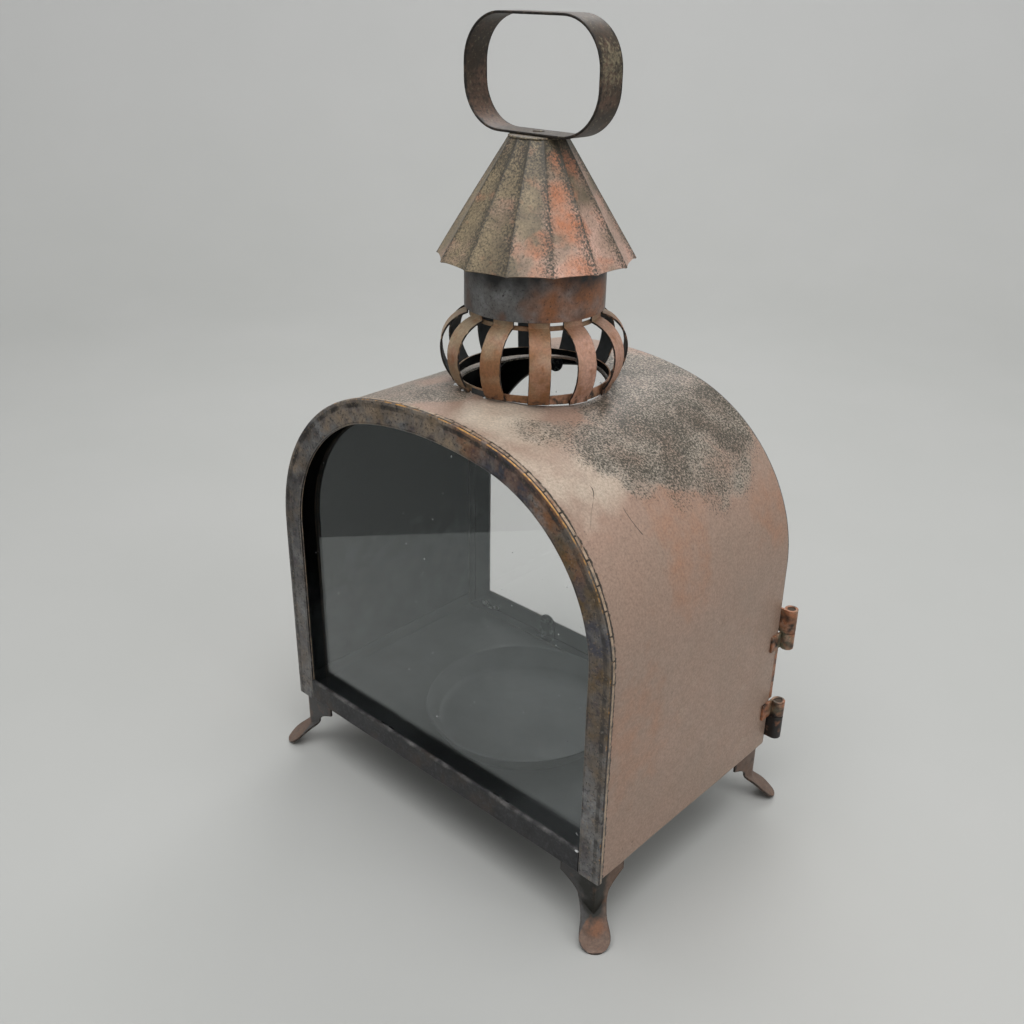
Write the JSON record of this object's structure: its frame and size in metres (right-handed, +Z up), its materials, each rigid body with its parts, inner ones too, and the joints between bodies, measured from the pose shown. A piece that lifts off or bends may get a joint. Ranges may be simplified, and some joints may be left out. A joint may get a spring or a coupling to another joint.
{
  "type": "candle lantern",
  "caption": "Arched tin candle lantern with a glazed front, a hinged glass door behind, a bellied vent cage, a fluted cone cap, a loop handle and bent corner feet.",
  "frame": {"origin": "on the floor, under the middle of the lantern", "axes": "+X to the right seen from the front, +Y to the rear door, +Z up"},
  "size_m": [0.212, 0.1448, 0.3506],
  "materials": {
    "shell_copper_paint": "pinkish copper-brown paint with a dark speckled patina",
    "frame_slate_paint": "dark slate paint rubbed back to rust and gold at the edges",
    "trim_copper_paint": "copper-brown paint with dark speckles and salmon patches",
    "handle_bronze_paint": "olive-brown paint with dark edges",
    "hinge_copper_paint": "worn copper-brown paint",
    "inside_dark_tin": "dark unpolished tin",
    "window_glass": "clear float glass with a few dust specks"
  },
  "bodies": {
    "lantern": {"arch_shell": "shell_copper_paint", "floor_tray": "inside_dark_tin", "candle_pan": "inside_dark_tin", "front_frame": "frame_slate_paint", "front_sill": "frame_slate_paint", "front_pane": "window_glass", "front_pane_clips": "inside_dark_tin", "upper_hinge_fixed_leaf": "hinge_copper_paint", "upper_hinge_pin": "hinge_copper_paint", "lower_hinge_fixed_leaf": "hinge_copper_paint", "lower_hinge_pin": "hinge_copper_paint", "latch_keeper": "hinge_copper_paint", "cage_lower_ring": "trim_copper_paint", "cage_upper_ring": "trim_copper_paint", "cage_straps": "trim_copper_paint", "vent_collar": "frame_slate_paint", "fluted_cap": "trim_copper_paint", "cap_plate": "trim_copper_paint", "carry_handle": "handle_bronze_paint", "handle_rivet": "handle_bronze_paint", "front_left_foot": "trim_copper_paint", "front_right_foot": "trim_copper_paint", "rear_left_foot": "trim_copper_paint", "rear_right_foot": "trim_copper_paint"},
    "door": {"door_frame": "frame_slate_paint", "door_pane": "window_glass", "door_pane_clips": "inside_dark_tin", "upper_hinge_door_leaf": "hinge_copper_paint", "lower_hinge_door_leaf": "hinge_copper_paint", "latch_stud": "hinge_copper_paint"},
    "latch": {"latch_button": "hinge_copper_paint"}
  },
  "joints": [
    {"name": "door_swing", "type": "hinge", "parent": "lantern", "child": "door", "pos_m": [0.1006, 0.06735, 0.08], "axis": [0, 0, -1], "range_deg": [0, 170]},
    {"name": "latch_turn", "type": "hinge", "parent": "door", "child": "latch", "pos_m": [-0.091, 0.06525, 0.072], "axis": [0, -1, 0], "range_deg": [0, 90]}
  ]
}
